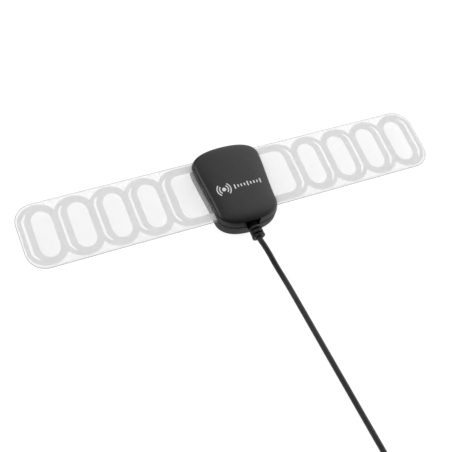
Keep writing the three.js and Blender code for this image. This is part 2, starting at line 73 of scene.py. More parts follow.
FILM_LOW, FILM_HIGH = node_box("film_base")
TRACE_LOW, TRACE_HIGH = node_box("trace_right")
TOP_HIGH = node_box("housing_top")[1]
BASE_LOW, BASE_HIGH = node_box("housing_base")
PAD_LOW, PAD_HIGH = node_box("rest_pad")
RELIEF_LOW, RELIEF_HIGH = node_box("strain_relief")
COIL_LOW, COIL_HIGH = node_box("cord_coil")
TIE_HIGH = node_box("cord_tie")[1]
BOOT_LOW, BOOT_HIGH = node_box("plug_boot")
SCREW_PLACES = [(low + high) / 2 for low, high in (node_box(f"housing_screw_{i}") for i in range(1, 5))]

FILM_Y = (FILM_LOW.y + FILM_HIGH.y) / 2
PARTING = BASE_HIGH.z
AXIS_Z = (RELIEF_LOW.z + RELIEF_HIGH.z) / 2
COIL_MIDDLE = (COIL_LOW + COIL_HIGH) / 2
PLUG_AXIS = (BOOT_LOW + BOOT_HIGH) / 2


# -------- placing things, and the camera

def place_object(name, data):
    made = bpy.data.objects.new(name, data)
    bpy.context.scene.collection.objects.link(made)
    return made


def aim_object(name, data, place, aim, roll=0.0):
    """A camera or a light at a place, turned towards its aim and rolled about that line."""
    made = place_object(name, data)
    turn = (aim - place).to_track_quat("-Z", "Y").to_matrix().to_4x4()
    made.matrix_world = Matrix.Translation(place) @ turn @ Matrix.Rotation(roll, 4, "Z")
    return made


def make_camera():
    """The photograph's own viewpoint: to the front left of the antenna and well above it."""
    data = bpy.data.cameras.new("camera")
    data.lens = 70.2
    data.sensor_width = 36
    place = mm(-155.0, -179.3, 383.0)
    aim = mm(-13.35, -19.2, 6.2)
    bpy.context.scene.camera = aim_object("camera", data, place, aim, math.radians(21.864))


# -------- mesh helpers

def new_object(name, points, faces, smooth=30):
    """A mesh object from points in millimetres; edges sharper than smooth degrees stay crisp."""
    data = bpy.data.meshes.new(name)
    data.from_pydata([mm(*p) for p in points], [], faces)
    data.validate()
    data.update()
    piece = place_object(name, data)
    weld(piece)
    shade(piece, smooth)
    return piece


def weld(piece, distance=0.0001):
    """Merges points closer than a distance in millimetres and turns every face outwards."""
    edit = bmesh.new()
    edit.from_mesh(piece.data)
    bmesh.ops.remove_doubles(edit, verts=edit.verts, dist=distance * 0.001)
    bmesh.ops.recalc_face_normals(edit, faces=edit.faces)
    edit.to_mesh(piece.data)
    edit.free()


def shade(piece, angle):
    piece.data.polygons.foreach_set("use_smooth", [True] * len(piece.data.polygons))
    piece.data.set_sharp_from_angle(angle=math.radians(angle))


def finalise(piece):
    """Turns what a piece's modifiers make into its own mesh."""
    bpy.context.view_layer.update()
    graph = bpy.context.evaluated_depsgraph_get()
    made = bpy.data.meshes.new_from_object(piece.evaluated_get(graph))
    piece.modifiers.clear()
    piece.data = made


def combine(piece, others, operation="DIFFERENCE", smooth=30):
    """Cuts other solids from a piece, or joins them to it, and removes them."""
    for other in others:
        boolean = piece.modifiers.new("combine", "BOOLEAN")
        boolean.operation = operation
        boolean.solver = "EXACT"
        boolean.object = other
        finalise(piece)
        bpy.data.objects.remove(other)
    shade(piece, smooth)
    return piece


def soften(piece, width, segments=3, angle=35):
    """Rounds the edges that are sharper than an angle."""
    bevel = piece.modifiers.new("soften", "BEVEL")
    bevel.width = width * 0.001
    bevel.segments = segments
    bevel.limit_method = "ANGLE"
    bevel.angle_limit = math.radians(angle)
    finalise(piece)
    shade(piece, angle=40)
    return piece


def spread(start, end, steps):
    """Evenly spaced numbers from start to end, both included."""
    return [start + (end - start) * i / steps for i in range(steps + 1)]


def rings(name, loops, closed=False, smooth=30):
    """A surface through loops of equally many points, capped at its ends unless it closes on itself."""
    size = len(loops[0])
    points = [p for loop in loops for p in loop]
    pairs = list(zip(range(len(loops)), range(1, len(loops))))
    if closed:
        pairs.append((len(loops) - 1, 0))
    faces = [
        (a * size + i, a * size + (i + 1) % size, b * size + (i + 1) % size, b * size + i)
        for a, b in pairs
        for i in range(size)
    ]
    if not closed:
        for k in (0, len(loops) - 1):
            points.append(sum((Vector(p) for p in loops[k]), Vector((0, 0, 0))) / size)
            centre = len(points) - 1
            faces += [(centre, k * size + i, k * size + (i + 1) % size) for i in range(size)]
    return new_object(name, points, faces, smooth)


def turned(name, profile, place, forward, sides, closed=False):
    """A turned piece. The profile is a list of (along, radius), along runs forward from place, and
    a radius is a number or a function of the angle."""
    turn = Vector(forward).to_track_quat("Z", "Y").to_matrix()
    start = Vector(place)
    angles = spread(0, TAU, sides)[:-1]
    loops = []
    for along, radius in profile:
        radii = [radius(a) if callable(radius) else max(radius, TINY) for a in angles]
        loops.append([
            start + turn @ Vector((r * math.cos(a), r * math.sin(a), along))
            for r, a in zip(radii, angles)
        ])
    return rings(name, loops, closed)


def rounded(profile, radius, steps=4):
    """A profile with its inner corners rounded."""
    points = [Vector(p) for p in profile]
    made = [points[0]]
    for before, corner, after in zip(points, points[1:], points[2:]):
        reach = min(radius, (corner - before).length / 2.01, (after - corner).length / 2.01)
        start = corner + (before - corner).normalized() * reach
        end = corner + (after - corner).normalized() * reach
        made += [start.lerp(corner, t).lerp(corner.lerp(end, t), t) for t in spread(0, 1, steps)]
    return [tuple(p) for p in [*made, points[-1]]]


def block(name, low, high):
    x0, y0, z0 = low
    x1, y1, z1 = high
    corners = [(x0, y0), (x1, y0), (x1, y1), (x0, y1)]
    return rings(name, [[(x, y, z) for x, y in corners] for z in (z0, z1)])


def arc(x, y, a, b, start, end, steps=24):
    """Points of an ellipse's arc, from start to end in radians, both included."""
    return [(x + a * math.cos(t), y + b * math.sin(t)) for t in spread(start, end, steps)]


def circle(x, y, radius, sides=40):
    return arc(x, y, radius, radius, 0, TAU, sides)[:-1]


def plate(name, outline, holes, low, high, skirt=()):
    """A flat plate with holes, between two heights. A skirt is loops of as many points as the
    outline, which its outer wall passes through on the way up."""
    loops = [[Vector((x, y, 0)) for x, y in loop] for loop in [outline, *holes]]
    flat = [p for loop in loops for p in loop]
    count = len(flat)
    triangles = tessellate_polygon(loops)
    points = [(p.x, p.y, z) for z in (low, high) for p in flat]
    faces = [tuple(reversed(t)) for t in triangles]
    faces += [tuple(i + count for i in t) for t in triangles]
    walls = []
    first = 0
    for loop in loops:
        walls.append([[k + first + i for i in range(len(loop))] for k in (0, count)])
        first += len(loop)
    for loop in skirt:
        walls[0].insert(-1, [len(points) + i for i in range(len(loop))])
        points += loop
    for wall in walls:
        for lower, upper in zip(wall, wall[1:]):
            following = zip(lower, lower[1:] + lower[:1], upper[1:] + upper[:1], upper)
            faces += [tuple(corners) for corners in following]
    return new_object(name, points, faces)


def rounded_rectangle(width, depth, corner, x=0.0, y=0.0, steps=16):
    right = width / 2 - corner
    back = depth / 2 - corner
    quarter = TAU / 4
    centres = [(x + right, y + back), (x - right, y + back), (x - right, y - back), (x + right, y - back)]
    return [
        p
        for i, (cx, cy) in enumerate(centres)
        for p in arc(cx, cy, corner, corner, i * quarter, (i + 1) * quarter, steps)
    ]


def smooth_path(points, step):
    """A centripetal Catmull-Rom curve through the points, sampled about every step."""
    points = [Vector(p) for p in points]
    points = [2 * points[0] - points[1], *points, 2 * points[-1] - points[-2]]
    path = []
    for p0, p1, p2, p3 in zip(points, points[1:], points[2:], points[3:]):
        t1 = (p1 - p0).length ** 0.5
        t2 = t1 + (p2 - p1).length ** 0.5
        t3 = t2 + (p3 - p2).length ** 0.5
        count = max(1, round((p2 - p1).length / step))
        for i in range(count):
            t = t1 + (t2 - t1) * i / count
            a1 = p0.lerp(p1, t / t1)
            a2 = p1.lerp(p2, (t - t1) / (t2 - t1))
            a3 = p2.lerp(p3, (t - t2) / (t3 - t2))
            b1 = a1.lerp(a2, t / t2)
            b2 = a2.lerp(a3, (t - t1) / (t3 - t1))
            path.append(b1.lerp(b2, (t - t1) / (t2 - t1)))
    path.append(points[-2])
    return path


def tube(name, path, radius, sides=16):
    """A round tube along a path, carried without twist."""
    loops = []
    side = UP
    for i, p in enumerate(path):
        ahead = (path[min(i + 1, len(path) - 1)] - path[max(i - 1, 0)]).normalized()
        side = (side - ahead * side.dot(ahead)).normalized()
        other = ahead.cross(side)
        loops.append([
            p + (side * math.cos(a) + other * math.sin(a)) * radius
            for a in spread(0, TAU, sides)[:-1]
        ])
    return rings(name, loops, smooth=60)


# -------- material helpers, and what each piece is

def rgba(colour):
    """A colour with its alpha; a grey is given as one number."""
    return (*((colour,) * 3 if isinstance(colour, (int, float)) else colour), 1)


def put(made, socket, value):
    """Gives a socket a value, or links it to another node's output."""
    if isinstance(value, bpy.types.NodeSocket):
        made.node_tree.links.new(value, socket)
    else:
        socket.default_value = value


def feed(made, socket, value):
    put(made, made.node_tree.nodes["Principled BSDF"].inputs[socket], value)


def material(name, colour, roughness, metallic=0.0, specular=0.5):
    made = bpy.data.materials.new(name)
    made.use_nodes = True
    feed(made, "Base Color", rgba(colour))
    feed(made, "Roughness", roughness)
    feed(made, "Metallic", metallic)
    feed(made, "Specular IOR Level", specular)
    return made


def add_node(made, kind, inputs=None, **settings):
    """A node with its settings, and with inputs that are either values or other nodes' outputs."""
    node = made.node_tree.nodes.new(kind)
    for setting, value in settings.items():
        setattr(node, setting, value)
    for socket, value in (inputs or {}).items():
        put(made, node.inputs[socket], value)
    return node


def coordinates(made, stretch=(1, 1, 1)):
    """The piece's own coordinates in millimetres, stretched along its axes."""
    place = add_node(made, "ShaderNodeTexCoord").outputs["Object"]
    scale = tuple(1000 * s for s in stretch)
    return add_node(made, "ShaderNodeMapping", {"Vector": place, "Scale": scale}).outputs["Vector"]


def noise(made, size, detail=2.0, stretch=(1, 1, 1)):
    """Cloudy variation whose features are about size millimetres across."""
    inputs = {"Vector": coordinates(made, stretch), "Scale": 1 / size, "Detail": detail}
    return add_node(made, "ShaderNodeTexNoise", inputs).outputs["Fac"]


def cells(made, size):
    inputs = {"Vector": coordinates(made), "Scale": 1 / size}
    return add_node(made, "ShaderNodeTexVoronoi", inputs).outputs["Distance"]


def between(made, factor, low, high, from_low=0.3, from_high=0.7):
    """A number that runs from low to high as a factor runs from from_low to from_high."""
    inputs = {
        "Value": factor, "From Min": from_low, "From Max": from_high, "To Min": low, "To Max": high,
    }
    return add_node(made, "ShaderNodeMapRange", inputs).outputs["Result"]


def colour_by(made, factor, first, second):
    """A base colour that turns from one to another as the factor runs from 0 to 1."""
    node = add_node(made, "ShaderNodeMix", {"Factor": factor}, data_type="RGBA")
    for socket, colour in (("A", first), ("B", second)):
        target = next(i for i in node.inputs if i.name == socket and i.type == "RGBA")
        put(made, target, rgba(colour))
    feed(made, "Base Color", next(o for o in node.outputs if o.type == "RGBA"))


def roughness_by(made, factor, low, high, *span):
    feed(made, "Roughness", between(made, factor, low, high, *span))


def bump(made, height, depth, strength=1.0):
    """Relief of a depth in millimetres."""
    inputs = {"Height": height, "Distance": depth * 0.001, "Strength": strength}
    feed(made, "Normal", add_node(made, "ShaderNodeBump", inputs).outputs["Normal"])


def added(made, first, second, share=1.0):
    """The sum of a height and a share of another."""
    part = add_node(made, "ShaderNodeMath", {0: second, 1: share}, operation="MULTIPLY")
    return add_node(made, "ShaderNodeMath", {0: first, 1: part.outputs[0]}, operation="ADD").outputs[0]


def dress(piece, *materials):
    """Gives a new piece, or a carried-over CAD node, its materials."""
    if len(piece.material_slots) == len(materials):
        for slot, made in zip(piece.material_slots, materials):
            slot.material = made
        return
    piece.data.materials.clear()
    for made in materials:
        piece.data.materials.append(made)


def keep(piece, slot, *nodes, made=None, body=BODY):
    """Gives a finished piece its material, unless it has it, hangs it on the body it rides on and
    hides the CAD nodes that it stands for."""
    if made:
        dress(piece, made)
    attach(piece, body)
    if nodes:
        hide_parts(*nodes)
    return piece


# -------- materials

def film_material():
    """Slightly milky polyester, with a faint haze and drag marks from handling."""
    made = material("film_polyester", 0.93, 0.22)
    feed(made, "Alpha", 0.15)
    haze = noise(made, 14, 3)
    drag = noise(made, 1.1, 2, (0.05, 1, 1))
    roughness_by(made, added(made, haze, drag, 0.4), 0.14, 0.34, 0.5, 0.9)
    bump(made, added(made, haze, drag, 0.15), 0.05, 0.5)
    return made


def film_edge_material():
    """The film's cut edge and sloping rim, painted grey and less clear: painted shade that stands in for
    the dark line along the film's edge.
    """
    made = material("film_edge_painted_shade", 0.45, 0.5)
    feed(made, "Alpha", 0.75)
    colour_by(made, noise(made, 2.5, 2), 0.34, 0.5)
    return made


def print_material():
    """Pale conductive ink, screen printed: flat, with a fine mottle and a faint mesh."""
    made = material("printed_ink", 0.93, 0.46)
    mottle = noise(made, 3.2, 4)
    colour_by(made, between(made, mottle, 0, 1), 0.92, 0.95)
    roughness_by(made, noise(made, 0.5, 3), 0.4, 0.55)
    bump(made, added(made, noise(made, 0.3, 2), mottle, 0.3), 0.02, 0.6)
    return made


def housing_material(name, specular, smooth, rough):
    """Black moulded plastic with a fine spark-eroded texture and handling marks."""
    made = material(name, 0.013, (smooth + rough) / 2, specular=specular)
    grain = noise(made, 0.22, 3)
    smears = noise(made, 9, 4, (1, 0.6, 1))
    colour_by(made, between(made, noise(made, 5, 3), 0, 1), 0.011, 0.015)
    roughness_by(made, smears, smooth, rough)
    bump(made, added(made, grain, smears, 0.1), 0.02, 0.25)
    return made


def rubber_material(name, colour, roughness, specular):
    made = material(name, colour, roughness, specular=specular)
    fine = noise(made, 0.35, 3)
    colour_by(made, noise(made, 2.4, 3), colour * 0.75, colour * 1.5)
    roughness_by(made, fine, roughness - 0.08, roughness + 0.1)
    bump(made, fine, 0.03, 0.5)
    return made


def jacket_material():
    """Extruded PVC: faint marks along the cord, a little dust and scuffing."""
    made = material("cord_jacket", 0.016, 0.42, specular=0.4)
    scuff = noise(made, 6, 4)
    colour_by(made, between(made, scuff, 0, 1, 0.45, 0.75), 0.013, 0.024)
    roughness_by(made, noise(made, 1.6, 3), 0.34, 0.52)
    bump(made, noise(made, 0.5, 3), 0.025, 0.5)
    return made


def foam_material():
    """Closed-cell foam with its small open bubbles at the skin."""
    made = material("foam", 0.016, 0.95, specular=0.2)
    bubbles = cells(made, 0.35)
    # The bubbles' hollows are painted darker than the skin round them: painted shade in the pits.
    colour_by(made, between(made, bubbles, 0, 1, 0.1, 0.6), 0.009, 0.024)
    bump(made, bubbles, 0.12, 0.9)
    return made


def metal_material(name, colour, roughness, scratch=0.4, stretch=(1, 1, 1)):
    """Bare or plated metal, a little uneven, with hairline scratches."""
    made = material(name, colour, roughness, 1.0)
    tarnish = tuple(c * 0.72 for c in colour)
    colour_by(made, between(made, noise(made, 1.8, 4), 0, 0.6), colour, tarnish)
    hair = noise(made, 0.18, 2, stretch)
    roughness_by(made, hair, roughness - 0.06, roughness + 0.14)
    bump(made, hair, 0.01, scratch)
    return made


def board_material():
    """Green solder mask over copper tracks, which show as slightly raised paler lines."""
    made = material("solder_mask", (0.01, 0.1, 0.04), 0.32)
    inputs = {"Vector": coordinates(made), "Scale": 0.09, "Distortion": 1.4, "Detail": 0.0}
    tracks = add_node(made, "ShaderNodeTexWave", inputs).outputs["Fac"]
    raised = between(made, tracks, 0, 1, 0.62, 0.7)
    colour_by(made, raised, (0.008, 0.075, 0.03), (0.03, 0.2, 0.07))
    bump(made, raised, 0.035)
    return made


def chip_material(name, body, middle_x, half_body):
    """A chip part: a ceramic body between two tinned ends."""
    made = material(name, body, 0.5)
    place = add_node(made, "ShaderNodeSeparateXYZ", {"Vector": coordinates(made)}).outputs["X"]
    offset = add_node(made, "ShaderNodeMath", {0: place, 1: middle_x}, operation="SUBTRACT").outputs[0]
    away = add_node(made, "ShaderNodeMath", {0: offset}, operation="ABSOLUTE").outputs[0]
    end = between(made, away, 0, 1, half_body - 0.02, half_body + 0.02)
    colour_by(made, end, body, (0.62, 0.61, 0.58))
    feed(made, "Metallic", end)
    bump(made, noise(made, 0.25, 3), 0.02, 0.6)
    return made


def speckled_material(name, colour, roughness):
    """A pressed or moulded solid with a fine grain, such as ferrite or foamed polythene."""
    made = material(name, colour, roughness)
    dark = tuple(c * 0.8 for c in colour)
    colour_by(made, noise(made, 0.3, 4), dark, colour)
    bump(made, noise(made, 0.2, 3), 0.03, 0.5)
    return made


def strap_material():
    """Hook-and-loop strap: ribs of weave across it under a nap of loops."""
    made = material("strap_weave", 0.012, 0.9, specular=0.25)
    inputs = {"Vector": coordinates(made), "Scale": 1.1, "Distortion": 0.6, "Detail": 1.0}
    weave = add_node(made, "ShaderNodeTexWave", inputs, bands_direction="DIAGONAL").outputs["Fac"]
    loops = noise(made, 0.3, 4)
    colour_by(made, loops, 0.006, 0.026)
    bump(made, added(made, weave, loops, 0.8), 0.16, 0.8)
    feed(made, "Sheen Weight", 0.35)
    return made


def mark_material():
    """White pad-printed ink, worn a little thin."""
    made = material("pad_print", 0.85, 0.5)
    colour_by(made, between(made, noise(made, 0.7, 4), 0, 1, 0.35, 0.6), 0.66, 0.9)
    bump(made, noise(made, 0.25, 2), 0.01, 0.5)
    return made


def floor_material():
    """Pale studio paper that keeps shadows faint."""
    made = material("studio_paper", 0.25, 0.9, specular=0.1)
    feed(made, "Emission Color", rgba(1))
    feed(made, "Emission Strength", 0.9)
    roughness_by(made, noise(made, 30, 2), 0.85, 0.95)
    return made


FILM = film_material()
FILM_EDGE_SHADE = film_edge_material()
PRINT = print_material()
SATIN_PLASTIC = housing_material("satin_plastic", 0.44, 0.24, 0.34)
MATT_PLASTIC = housing_material("matt_plastic", 0.3, 0.45, 0.6)
FOAM = foam_material()
STEEL = metal_material("zinc_plated_steel", (0.62, 0.62, 0.63), 0.28)
BRASS = metal_material("spring_brass", (0.75, 0.56, 0.25), 0.26)
COPPER = metal_material("copper", (0.85, 0.42, 0.25), 0.28)
NICKEL = metal_material("nickel_plating", (0.70, 0.69, 0.67), 0.2, 0.3, (0.2, 1, 1))
RELIEF = rubber_material("relief_rubber", 0.004, 0.5, 0.3)
# Near-black, almost unreflecting rubber for the relief's thin neck: painted shade that stands in for the
# dark hollow round the neck inside the notch.
NECK_SHADE_RUBBER = rubber_material("neck_painted_shade", 0.002, 0.85, 0.05)
BOOT = rubber_material("boot_rubber", 0.006, 0.5, 0.4)
JACKET = jacket_material()
STRAP = strap_material()
MASK = board_material()
FERRITE = speckled_material("ferrite", (0.03, 0.03, 0.033), 0.6)
WHITE_PLASTIC = speckled_material("white_dielectric", (0.8, 0.79, 0.76), 0.42)
MARK = mark_material()


# -------- the printed film strip

ARM = {
    "first_cell": 45.9, "pitch": 17.72, "cells": 4, "half_width": 9.9, "round_end": 9.0,
    "round_from": 7.3, "band_inner": 4.0,
}
HOLE = {"a": 4.9, "b": 5.2, "y": 7.0, "shift": -1.4}
SLIT = {"a": 7.95, "b": 6.6, "width": 1.3, "turn": math.radians(52)}
CELL_MIDDLES = [ARM["first_cell"] + i * ARM["pitch"] for i in range(ARM["cells"])]
BIG_HOLE = {"inner": 8.0, "outer": 31.3, "half_height": 12.4, "corner": 4.5}
FILM_CORNER = 9.8
RIM = 0.4
INK_GAP = 0.015
BOSS_HOLE = 2.6
CONTACT_WINDOW = 5.0
CONTACT_X = 6.0


def make_sheet(name, node, windows):
    """One layer of the laminate, with holes for the bosses and windows for the contacts. Its
    sheared rim slopes down to half the thickness."""
    low, high = node_box(node)
    corner = FILM_CORNER - (FILM_HIGH.x - high.x)
    width = high.x - low.x
    depth = high.y - low.y
    flat, edge = (
        rounded_rectangle(width - 2 * inset, depth - 2 * inset, corner - inset, 0, FILM_Y, 24)
        for inset in (RIM, 0)
    )
    holes = [circle(p.x, p.y, BOSS_HOLE) for p in SCREW_PLACES]
    side = CONTACT_WINDOW
    window_corner = 0.5
    holes += [rounded_rectangle(side, side, window_corner, x, FILM_Y, 4) for x in windows]
    skirt = [[(x, y, z) for x, y in edge] for z in (low.z, (low.z + high.z) / 2)]
    sheet = plate(name, flat, holes, low.z, high.z, skirt)
    dress(sheet, FILM, FILM_EDGE_SHADE)
    # Faces that are not nearly flat take the grey edge material: painted shade along the film's rim and cut
    # edge.
    steepest_flat = 0.97
    for face in sheet.data.polygons:
        face.material_index = int(abs(face.normal.z) <= steepest_flat)
    keep(sheet, "film", node)


def oval(x, a, b, y):
    """A loop with straight sides and round ends."""
    return arc(x, y, a, b, 0, TAU / 2) + arc(x, -y, a, b, TAU / 2, TAU)


def slit(x):
    """The crescent that follows the outboard side of a cell and runs out to a point at each end."""
    y = ARM["round_from"]
    a, b, width, turn = SLIT.values()
    shares = spread(1, 0, 20)
    angles = [-turn * s for s in shares]
    outer = [(x + a * math.cos(t), -y + b * math.sin(t)) for t in angles]
    narrow = [width * math.sqrt(1 - s * s) for s in shares]
    inner = [
        (x + (a - w) * math.cos(t), -y + (b - w) * math.sin(t)) for t, w in zip(angles, narrow)
    ]
    right = outer + [(px, -py) for px, py in reversed(outer)]
    left = inner + [(px, -py) for px, py in reversed(inner)]
    return right + left[-2:0:-1]


def arm_outline():
    """The right-hand arm's edge: round-ended cells run together, then a longer cell to the middle."""
    a, b, y = ARM["half_width"], ARM["round_end"], ARM["round_from"]
    pitch = ARM["pitch"]
    half = TAU / 2
    quarter = TAU / 4
    meet = math.acos(pitch / 2 / a)
    *middles, last = CELL_MIDDLES
    big = ARM["first_cell"] - pitch
    front = [(ARM["band_inner"], -y - b)] + arc(big, -y, a, b, -quarter, -meet)
    for x in middles:
        front += arc(x, -y, a, b, meet - half, -meet)
    front += arc(last, -y, a, b, meet - half, 0)
    back = arc(last, y, a, b, 0, half - meet)
    for x in reversed(middles):
        back += arc(x, y, a, b, meet, half - meet)
    back += arc(big, y, a, b, meet, quarter) + [(ARM["band_inner"], y + b)]
    return front + back


def arm_holes():
    holes = [slit(ARM["first_cell"] - ARM["pitch"])]
    for x in CELL_MIDDLES:
        holes += [oval(x + HOLE["shift"], HOLE["a"], HOLE["b"], HOLE["y"]), slit(x)]
    width = BIG_HOLE["outer"] - BIG_HOLE["inner"]
    middle = (BIG_HOLE["outer"] + BIG_HOLE["inner"]) / 2
    holes.append(rounded_rectangle(width, 2 * BIG_HOLE["half_height"], BIG_HOLE["corner"], middle))
    return holes


def make_arm(name, node, side):
    """One printed arm, just clear of the films; the left arm is the right one turned half a turn."""
    def turned_round(loop):
        return [(side * x, FILM_Y + side * y) for x, y in loop]
    holes = [turned_round(h) for h in arm_holes()]
    low, high = TRACE_LOW.z + INK_GAP, TRACE_HIGH.z - INK_GAP
    keep(plate(name, turned_round(arm_outline()), holes, low, high), "print", node, made=PRINT)


def make_film():
    make_sheet("film_base_sheet", "film_base", [-CONTACT_X, CONTACT_X])
    make_sheet("film_cover_sheet", "film_cover", [])
    make_arm("printed_arm_left", "trace_left", -1)
    make_arm("printed_arm_right", "trace_right", 1)


# -------- the housing

HALF_LENGTH = TOP_HIGH.y
SHOULDER = TOP_HIGH.x
SHOULDER_Y = 13.8
WAIST = 16.7
WAIST_Y = -13.2
CROWN_SHARES = [1 - 0.02 * i for i in range(1, 11)] + [0.8 - 0.08 * i for i in range(1, 10)]
WALL = 1.5
FLOOR = 1.3
ROOF = 1.2
CROWN_EDGE = 9.9
CROWN_INSET = 1.5
FRONT_LEAN = 0.9
FOOT_SPREAD = 0.65
GROOVE = {"drop": 0.95, "height": 0.4, "depth": 1.0}
SLOT = {"x": 18, "half_width": 7, "reach": 17.8, "below": 0.3, "above": 0.8}
BOSS = {"foot": 3.0, "foot_top": 3.4, "radius": 2.2}
SCREW = {
    "head": 1.8, "head_height": 1.4, "seat": 2.0, "shaft": 0.85, "gap": 0.2, "hole_top": 8.9,
    "pitch": 0.6, "thread_depth": 0.2, "tip": 0.8,
}
NOTCH = {"front": -24.3, "back": -20.9, "radius": 3.45, "top": 9.3, "top_half": 4.3}
PAD_CORNER = 3.0
PAD_GAP = 0.3
POCKET = {"half": 4.3, "rise": 2.3, "front": -21.5, "back": -19.6}


def bezier(p0, p1, p2, p3, steps):
    """Points of a cubic curve, its last point left out."""
    made = []
    for t in spread(0, 1, steps)[:-1]:
        u = 1 - t
        weights = (u ** 3, 3 * u * u * t, 3 * u * t * t, t ** 3)
        made.append(tuple(sum(w * p[k] for w, p in zip(weights, (p0, p1, p2, p3))) for k in (0, 1)))
    return made


def housing_outline(inset, lean=0.0, steps=22):
    """The plan, drawn in by an inset, and by the lean as well at its front: broad round shoulders
    at the back, a bowed narrower front."""
    end = HALF_LENGTH - inset
    shoulder = SHOULDER - inset
    waist = WAIST - inset
    foremost = lean - end
    front = (0, foremost)
    side = (waist, WAIST_Y)
    corner = (shoulder, SHOULDER_Y)
    half = bezier(front, (waist * 0.54, foremost), (waist, foremost + 2.6), side, steps)
    half += bezier(side, (waist, WAIST_Y + 9), (shoulder, SHOULDER_Y - 8), corner, steps)
    half += bezier(corner, (shoulder, end - 2.2), (shoulder * 0.58, end), (0, end), steps)
    half.append((0, end))
    return half + [(-x, y) for x, y in half[-2:0:-1]]


def level(inset, z, lean=0.0):
    return [(x, y, z) for x, y in housing_outline(inset, lean)]


def crown(inset, edge, rise, lean=0.0):
    """Levels of the top face: bowed from side to side, flat from front to back, and rolled over in
    the last few millimetres before its edge."""
    levels = []
    for share in CROWN_SHARES:
        loop = []
        for x, y in housing_outline(inset, lean):
            bow = 1 - 0.75 * (x * share / SHOULDER) ** 2
            loop.append((x * share, y * share, edge + rise * (1 - share ** 8) * bow))
        levels.append(loop)
    return levels


def side_slots(low, high):
    """Cutters for the two slots that the film passes out through."""
    half, reach = SLOT["half_width"], SLOT["reach"]
    return [
        block("slot", (x - half, FILM_Y - reach, low), (x + half, FILM_Y + reach, high))
        for x in (SLOT["x"], -SLOT["x"])
    ]


def relief_room():
    """Cutters for the opening through the front walls, round below and flared above, and for the
    flange's pocket behind them."""
    radius = NOTCH["radius"]
    section = arc(0, AXIS_Z, radius, radius, TAU / 2, TAU)
    section += [(NOTCH["top_half"], NOTCH["top"]), (-NOTCH["top_half"], NOTCH["top"])]
    notch = rings("notch", [[(x, y, z) for x, z in section] for y in (NOTCH["front"], NOTCH["back"])])
    pocket = block("pocket", (-POCKET["half"], POCKET["front"], AXIS_Z - POCKET["rise"]),
                   (POCKET["half"], POCKET["back"], AXIS_Z + POCKET["rise"]))
    return [notch, pocket]


def at_screws(radius, low, high):
    """An upright cylinder at each screw's place."""
    profile = [(0, radius), (high - low, radius)]
    return [turned("post", profile, (p.x, p.y, low), UP, 40) for p in SCREW_PLACES]


def make_housing_top():
    """The upper shell: a drafted wall above a shadow gap, a fine groove, and a bowed crown."""
    gap = 0.35
    rise = TOP_HIGH.z - CROWN_EDGE
    groove_low = CROWN_EDGE - GROOVE["drop"]
    groove_high = groove_low + GROOVE["height"]
    draft = 0.26
    lip = draft * (groove_low - PARTING - 0.5)
    deep = lip + GROOVE["depth"]
    wall = rounded([
        (gap + 0.3, PARTING), (gap, PARTING), (gap, PARTING + 0.35), (0.0, PARTING + 0.5),
        (lip, groove_low), (deep, groove_low + 0.05), (deep, groove_high - 0.05),
        (lip + 0.15, groove_high), (CROWN_INSET, CROWN_EDGE),
    ], 0.12)
    height = groove_low - PARTING
    outside = [level(inset, z, FRONT_LEAN * min(1, (z - PARTING) / height)) for inset, z in wall]
    outside += crown(CROWN_INSET, CROWN_EDGE, rise, FRONT_LEAN)
    shell = rings("upper_shell", outside)
    edge = CROWN_EDGE - ROOF
    inner = WALL + CROWN_INSET
    room = [level(WALL, PARTING - 1), level(inner, edge), *crown(inner, edge, rise)]
    slots = side_slots(PARTING - 1, PARTING + SLOT["above"])
    shell = combine(shell, [rings("room", room), *slots])
    shell = combine(shell, at_screws(BOSS["radius"], PARTING, CROWN_EDGE), "UNION")
    holes = at_screws(SCREW["shaft"] + SCREW["gap"], PARTING - 1, SCREW["hole_top"])
    shell = combine(shell, [*relief_room(), *holes])
    weld(shell, 0.02)
    shade(shell, angle=32)
    return keep(shell, "housing", "housing_top", made=SATIN_PLASTIC)


def pad_outline(inset):
    """The foam pad's plan, drawn in by an inset, or out by a negative one."""
    width = PAD_HIGH.x - PAD_LOW.x - 2 * inset
    depth = PAD_HIGH.y - PAD_LOW.y - 2 * inset
    return rounded_rectangle(width, depth, PAD_CORNER - inset)


def make_housing_base():
    """The lower shell, with its screw bosses, counterbores and the recess for the foam pad."""
    bottom = BASE_LOW.z
    wall = rounded([
        (1.2, bottom), (0.45, bottom), (0.1, bottom + 0.35), (0.0, bottom + 1.2), (0.0, PARTING - 0.15),
        (0.15, PARTING), (0.9, PARTING),
    ], 0.3)
    height = PARTING - bottom
    outside = [level(inset, z, FOOT_SPREAD * (z - PARTING) / height) for inset, z in wall]
    shell = rings("lower_shell", outside)
    room = rings("room", [level(WALL, bottom + FLOOR), level(WALL, PARTING + 1)])
    shell = combine(shell, [room, *side_slots(PARTING - SLOT["below"], PARTING + 1)])
    feet = at_screws(BOSS["foot"], bottom + 0.2, BOSS["foot_top"])
    posts = at_screws(BOSS["radius"], bottom + 0.2, PARTING)
    shell = combine(shell, feet + posts, "UNION")
    bores = at_screws(SCREW["head"] + SCREW["gap"], bottom - 1, SCREW["seat"])
    bores += at_screws(SCREW["shaft"] + SCREW["gap"], bottom, PARTING + 1)
    recess = plate("recess", pad_outline(-PAD_GAP), [], bottom - 1, PAD_HIGH.z)
    shell = combine(shell, [*bores, *relief_room(), recess], smooth=32)
    keep(shell, "housing", "housing_base", made=MATT_PLASTIC)


def make_pad():
    """The foam pad, its edge pressed a little rounder than its face."""
    low, high = PAD_LOW.z, PAD_HIGH.z
    profile = rounded([(0.6, low), (0.0, low), (0.0, high), (0.6, high)], 0.3)
    loops = [[(x, y, z) for x, y in pad_outline(inset)] for inset, z in profile]
    keep(rings("foam_rest_pad", loops), "pad", "rest_pad", made=FOAM)


